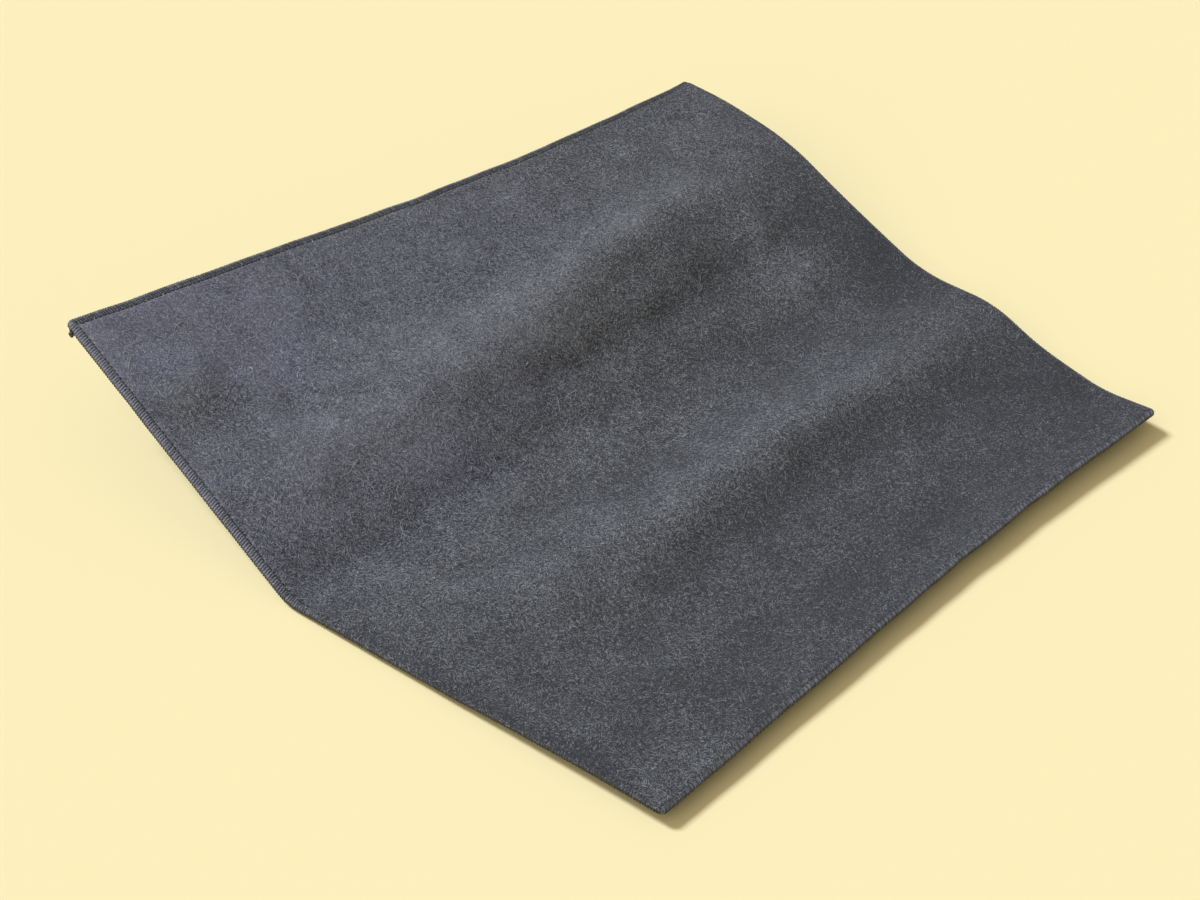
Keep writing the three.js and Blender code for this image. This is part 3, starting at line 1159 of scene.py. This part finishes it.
@dataclass
class OverlockEdge:
    """The overlocked edge: looper threads that wrap the edge and a row of needle stitches beside them.

    A jitter is how unevenly the stitches lie along the side and in depth. upper_end is how far below the top
    the last three points of an upper loop lie, and stitch_share is half a needle stitch's share of its pitch.
    """

    form: PadForm
    pitch: float = 1.5
    pairing: float = 0.05
    front_pairing: float = 0.22
    thread_radius: float = 0.6
    slant: float = 0.45
    sides: int = 5
    loop_sunk: float = 0.15
    loop_jitter: Pair = (0.09, 0.08)
    upper_end: Triple = (0.4, 0.65, 0.85)
    needle_pitch: float = 2.6
    needle_line: float = 4.7
    needle_radius: float = 0.36
    # The back needle thread is thicker, so that its dark thread also stands for the shade in the back groove.
    back_needle_radius: float = 0.5
    needle_rings: int = 5
    stitch_share: float = 0.36
    needle_jitter: Pair = (0.05, 0.06)
    needle_sunk: float = 0.2
    needle_end_sunk: float = 0.6
    needle_shade: float = 0.5
    needle_shade_spread: float = 0.15
    # Painted shade on the inner half of the back side's loops, where the groove lies in shade.
    back_groove_painted_shade: float = -0.5
    shade_spread: float = 0.18
    # Painted light on each side's thread: most on the raised half of the near side.
    painted_light_weight: float = 0.6
    side_painted_light: float = 0.45
    front_painted_light: float = 0.4
    near_painted_light: float = 1.3
    near_light_from: float = 190.0
    near_light_over: float = 50.0
    seed: int = 3
    needle_seed: int = 7

    def painted_light_on_side(self, side: Side, start: Array) -> Array:
        """Painted light on a side's thread: most on the raised half of the near side.

        Args:
            side: The side.
            start: Places along it.

        Returns:
            The painted light at each place.
        """
        if side is not Side.NEAR:
            return np.full_like(start, self.front_painted_light if side is Side.FRONT else self.side_painted_light)
        return self.near_painted_light * np.clip((start - self.near_light_from) / self.near_light_over, 0, 1)

    def loop_path(self, side: Side, layer: Layer) -> Array:
        """Path of one loop, from its inner end across the border and down the edge.

        Args:
            side: The side. Only on the front side do the upper loops reach down past half way.
            layer: Over the face or under the pad.

        Returns:
            Rows of the share of the slant, the depth from the edge and the height n.
        """
        inner = self.form.seam_width
        outer = self.thread_radius
        top = self.form.thickness - self.loop_sunk
        middle = self.form.thickness / 2
        path = np.array(
            [
                (1.0, inner - 0.1, top - 0.75),
                (0.95, inner - 0.5, top - 0.15),
                (0.8, inner - 1.6, top),
                (0.45, 2.2, top),
                (0.2, outer + 0.8, top - 0.15),
                (0.08, outer + 0.12, top - 0.75),
                (0.0, outer, middle + 0.15),
                (0.0, outer + 0.2, middle - 0.45),
            ]
        )
        if layer is Layer.LOWER:
            path[:, 2] = self.form.thickness - path[:, 2]
            path[:, 0] = 1 - path[:, 0]
        elif side is not Side.FRONT:
            path[-3:, 2] = top - np.array(self.upper_end)
        return path

    def side_length(self, side: Side) -> float:
        """Length of a side."""
        return self.form.length if side in (Side.FRONT, Side.BACK) else self.form.depth

    def outline_length(self, side: Side) -> float:
        """Length of a side along the rounded outline, from the middle of one corner to the next."""
        return self.side_length(side) - 2 * self.form.corner_radius + self.form.corner_radius * math.pi / 2

    def flat(self, side: Side, place: Array, depth: Array) -> tuple[Array, Array]:
        """Turns places along a side to flat places.

        Args:
            side: The side.
            place: Places along it.
            depth: Depths in from it.

        Returns:
            The places u and v.
        """
        if side is Side.FRONT:
            return place, depth
        if side is Side.BACK:
            return place, self.form.depth - depth
        if side is Side.NEAR:
            return depth, place
        return self.form.length - depth, place

    def fan(self, side: Side, start: Array, shift: Array, depth: Array) -> tuple[Array, Array]:
        """Turns stitches round the rounded corners.

        Args:
            side: The side that they are on.
            start: Length along the outline from the middle of the side's first corner to each stitch.
            shift: Place of each point of a stitch beside that.
            depth: Depth of each point.

        Returns:
            Places along the side, and depths from it.
        """
        radius = self.form.corner_radius
        quarter = radius * math.pi / 4
        total = self.outline_length(side)
        from_end = np.minimum(start, total - start)
        sign = np.where(start < total / 2, 1.0, -1.0)
        angle = np.clip((quarter - from_end) / radius, 0, math.pi / 4)
        straight = np.maximum(from_end - quarter, 0) + radius
        across = sign * shift
        reach = radius - depth
        place = straight + across * np.cos(angle) - reach * np.sin(angle)
        inward = radius - reach * np.cos(angle) - across * np.sin(angle)
        place = np.where(sign > 0, place, self.side_length(side) - place)
        return place, inward

    def starts(self, side: Side, pitch: float) -> Array:
        """Lengths along the outline at which a side's stitches start.

        Args:
            side: The side.
            pitch: About how far apart the stitches are.

        Returns:
            The lengths.
        """
        total = self.outline_length(side)
        count = round(total / pitch)
        return (np.arange(count) + 0.5) * total / count

    def sewn(self, side: Side, start: Array, shift: Array, depth: Array, n: Array, radius: float) -> Array:
        """Places of a side's stitches.

        Args:
            side: The side.
            start: Length along the outline to each stitch.
            shift: Place of each point of a stitch beside that.
            depth: Depth of each point.
            n: Height of each point, the same for all stitches.
            radius: The thread's radius.

        Returns:
            Points shaped (stitches, rings, sides, 3).
        """
        place, depth = self.fan(side, start[:, None], shift, depth)
        u, v = self.flat(side, place, depth)
        return swept(self.form.lay(u, v, n), radius, self.sides)

    def loops(self, side: Side, layer: Layer, material: Material) -> Object:
        """Makes one side's looper thread.

        Args:
            side: The side.
            layer: Over the face or under the pad.
            material: The thread's material.

        Returns:
            The piece.
        """
        draws = np.random.default_rng([self.seed, list(Side).index(side), list(Layer).index(layer)])
        start = self.starts(side, self.pitch)
        pairing = self.front_pairing if side is Side.FRONT else self.pairing
        start = start + pairing * (-1.0) ** np.arange(len(start))
        path = self.loop_path(side, layer)
        along, in_depth = (draws.normal(0, jitter, (len(start), 1)) for jitter in self.loop_jitter)
        shift = (path[:, 0] - 0.5) * self.slant * 2 + along
        inner_end = np.arange(len(path)) == 0
        depth = path[:, 1] + in_depth * inner_end
        points = self.sewn(side, start, shift, depth, path[:, 2], self.thread_radius)
        piece = strands(f"{layer.value}_looper_{side.value}", points, material)
        # Each stitch's painted light by side, with a random spread.
        shades = self.painted_light_weight * self.painted_light_on_side(side, start) + draws.normal(0, self.shade_spread, len(start))
        # Painted shade on the inner half of the back side's loops.
        inner_half = np.where(path[:, 1] > self.form.seam_width / 2, self.back_groove_painted_shade, 0.0)
        colour_thread(piece, shades, inner_half * (side is Side.BACK), self.sides)
        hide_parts(f"{layer.value}_looper_thread_{side.value}")
        return piece

    def needle_stitches(self, side: Side, material: Material) -> Object:
        """Makes one side's row of needle stitches, each sunk into the felt at both ends.

        Args:
            side: The side.
            material: The thread's material.

        Returns:
            The piece.
        """
        draws = np.random.default_rng([self.seed, list(Side).index(side), self.needle_seed])
        start = self.starts(side, self.needle_pitch)
        steps = np.linspace(-1, 1, self.needle_rings)
        along, in_depth = (draws.normal(0, jitter, (len(start), 1)) for jitter in self.needle_jitter)
        shift = steps * self.needle_pitch * self.stitch_share + along
        depth = np.full_like(shift, self.needle_line) + in_depth
        inner = np.minimum(start, start[::-1]) > self.needle_line
        start, shift, depth = start[inner], shift[inner], depth[inner]
        n = self.form.thickness - self.needle_sunk - self.needle_end_sunk * steps**4
        radius = self.back_needle_radius if side is Side.BACK else self.needle_radius
        points = self.sewn(side, start, shift, depth, n, radius)
        piece = strands(f"needle_stitches_{side.value}", points, material)
        shades = draws.normal(self.needle_shade, self.needle_shade_spread, len(start))
        colour_thread(piece, shades, np.zeros(len(steps)), self.sides)
        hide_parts(f"needle_thread_{side.value}")
        return piece


@dataclass
class ThreadTail:
    """The end of the thread chain, left hanging in a curve at the near back corner."""

    form: PadForm
    radius: float = 0.7
    reach: float = 2.6
    rings: int = 16
    sides: int = 8
    half_turns: float = 1.3
    from_corner: float = 1.5
    tuck: float = 0.6
    splay: float = 0.3
    droop: float = 1.1
    taper: float = 0.3
    lump: float = 0.12
    lump_turn: float = 40.0
    shade: float = 0.3

    def build(self, material: Material) -> Object:
        """Makes the tail.

        Args:
            material: The thread's material.

        Returns:
            The piece.
        """
        share = np.linspace(0, 1, self.rings)
        first = self.form.depth - self.form.corner_radius - self.from_corner
        along = first - self.reach * np.sin(share * math.pi)
        out = self.radius - self.tuck + self.splay * share
        n = self.form.thickness / 2 - self.droop * (1 - np.cos(share * self.half_turns * math.pi))
        laid = self.form.lay(-out, along, n)
        lumps = 1 + self.lump * np.sin(share * self.lump_turn)
        radii = self.radius * (1 - self.taper * share**4) * lumps
        points = swept(laid[None], radii[None], self.sides)
        piece = strands("thread_chain_tail", points, material)
        colour_thread(piece, np.array([self.shade]), np.zeros(self.rings), self.sides)
        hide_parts("thread_tail")
        return piece


@dataclass(frozen=True)
class Lamp:
    """A soft lamp: its strength, how wide it looks and where it stands, in degrees, and its colour."""

    name: str
    strength: float
    angle: float
    azimuth: float
    elevation: float
    colour: Triple
    distance: float = 2.0

    def build(self) -> None:
        """Makes the lamp."""
        light = bpy.data.lights.new(self.name, "SUN")
        light.energy = self.strength
        light.color = self.colour
        light.angle = math.radians(self.angle)
        lamp = bpy.data.objects.new(self.name, light)
        turn = math.radians(self.azimuth)
        raised = math.radians(self.elevation)
        flat = math.cos(raised)
        source = Vector((math.cos(turn) * flat, math.sin(turn) * flat, math.sin(raised)))
        lamp.rotation_mode = "QUATERNION"
        lamp.rotation_quaternion = source.to_track_quat("Z", "Y")
        lamp.location = source * self.distance
        bpy.context.scene.collection.objects.link(lamp)


@dataclass
class Studio:
    """The plain pale floor, the soft light and the camera."""

    floor_colour: str = "#fef1c1"
    floor_size: float = 30.0
    key: Lamp = Lamp("key", 2.88, 15.0, 124.0, 50.0, (0.847, 0.895, 0.971))
    fill: Lamp = Lamp("fill", 1.05, 60.0, 190.0, 38.0, (1.0, 0.93, 0.8))
    bounce_colour: str = "#fff1cc"
    bounce_strength: float = 0.2
    lens: float = 75.5
    sensor: float = 36.0
    eye: Triple = (-0.8428, -0.6738, 0.8396)
    ahead: Triple = (0.6003, 0.5032, -0.6217)
    rightwards: Triple = (0.689, -0.72, 0.0825)

    def floor(self) -> Object:
        """Makes the floor, which isn't part of the object.

        Returns:
            The floor.
        """
        material, tree, shader = blank_material("pale_paper_floor")
        matt = {"Roughness": 1.0, "Specular IOR Level": 0.0}
        feed(tree, shader, {"Base Color": linear(self.floor_colour), **matt})
        shape = bmesh.new()
        bmesh.ops.create_grid(shape, x_segments=1, y_segments=1, size=self.floor_size / 2)
        mesh = bpy.data.meshes.new("floor")
        shape.to_mesh(mesh)
        shape.free()
        mesh.materials.append(material)
        floor = bpy.data.objects.new("floor", mesh)
        bpy.context.scene.collection.objects.link(floor)
        return floor

    def light(self) -> None:
        """Makes the key light, the wide warm fill from the left and the warm light from all round."""
        self.key.build()
        self.fill.build()
        world = bpy.data.worlds.new("studio")
        world.use_nodes = True
        tree = world.node_tree
        tree.nodes.clear()
        path = add_node(tree, "LightPath")
        seen = path.outputs["Is Camera Ray"]
        for ray in ("Is Glossy Ray", "Is Transmission Ray"):
            seen = add_node(tree, "Math", {0: seen, 1: path.outputs[ray]}, operation="MAXIMUM")
        bounce = {"Color": linear(self.bounce_colour), "Strength": self.bounce_strength}
        room = add_node(tree, "Background", bounce)
        backdrop = add_node(tree, "Background", {"Color": linear(self.floor_colour), "Strength": 1.0})
        mixed = add_node(tree, "MixShader", {0: seen, 1: room, 2: backdrop})
        add_node(tree, "OutputWorld", {"Surface": mixed})
        bpy.context.scene.world = world

    def camera(self) -> None:
        """Makes the camera at the photograph's viewing angle."""
        data = bpy.data.cameras.new("camera")
        data.lens = self.lens
        data.sensor_width = self.sensor
        camera = bpy.data.objects.new("camera", data)
        back = -Vector(self.ahead).normalized()
        right = Vector(self.rightwards)
        right = (right - back * right.dot(back)).normalized()
        turn = Matrix((right, back.cross(right), back)).transposed()
        camera.matrix_world = Matrix.Translation(self.eye) @ turn.to_4x4()
        bpy.context.scene.collection.objects.link(camera)
        bpy.context.scene.camera = camera

    def build(self) -> None:
        """Makes the whole studio."""
        self.floor()
        self.light()
        self.camera()
        bpy.context.scene.view_settings.view_transform = "Standard"


def main() -> None:
    """Builds the pad's pieces in order and sets the studio round them."""
    logging.basicConfig(level=logging.INFO, format="%(message)s")
    form = PadForm()
    wool = BrushedFelt().material()
    looper = SpunThread("spun_looper_thread", colour="#7f8394", deep="#37383d").material()
    # The under thread's dark olive also stands for the painted shade and warm bounce light along the pad's
    # bottom rim.
    under = SpunThread("spun_under_thread_and_rim_shade", colour="#47463f", deep="#24231d").material()
    needle = SpunThread("spun_needle_thread", colour="#2b2c30", deep="#131416").material()

    face = FeltFace(form)
    felt = face.build(wool)
    backing = Backing(form).build(NonSlipBacking().material())
    dark_wool = WoolFibre("dark_wool_fibre", colour="#525458", deep="#3d3f43").material()
    grey_wool = WoolFibre("grey_wool_fibre", colour="#7f8286", deep="#5c5e62").material()
    pale_wool = WoolFibre("pale_wool_fibre", colour="#999ca1", deep="#77797e").material()
    hairs = {"radius": 0.12, "seed": 8, "rings": 7, "lift": (0.3, 1.0)}
    lots = (
        (LooseFibres(form, face, "dark_fibres", 9000, (1.8, 4.0), radius=0.12, seed=5), dark_wool),
        (LooseFibres(form, face, "grey_fibres", 13500, (1.8, 4.2), radius=0.12, seed=6), grey_wool),
        (LooseFibres(form, face, "pale_fibres", 9000, (1.6, 3.8), radius=0.1, seed=7), pale_wool),
        (LooseFibres(form, face, "long_hairs", 420, (7.0, 14.0), **hairs), pale_wool),
    )
    fibres = [lot.build(material) for lot, material in lots]
    edge = OverlockEdge(form)
    threads = []
    for side in Side:
        for layer in Layer:
            threads.append(edge.loops(side, layer, looper if layer is Layer.UPPER else under))
        threads.append(edge.needle_stitches(side, needle))
    threads.append(ThreadTail(form).build(under))

    Studio().build()
    for piece in (felt, backing, *fibres, *threads):
        log.info("%s: %d faces", piece.name, len(piece.data.polygons))


if __name__ == "__main__":
    main()
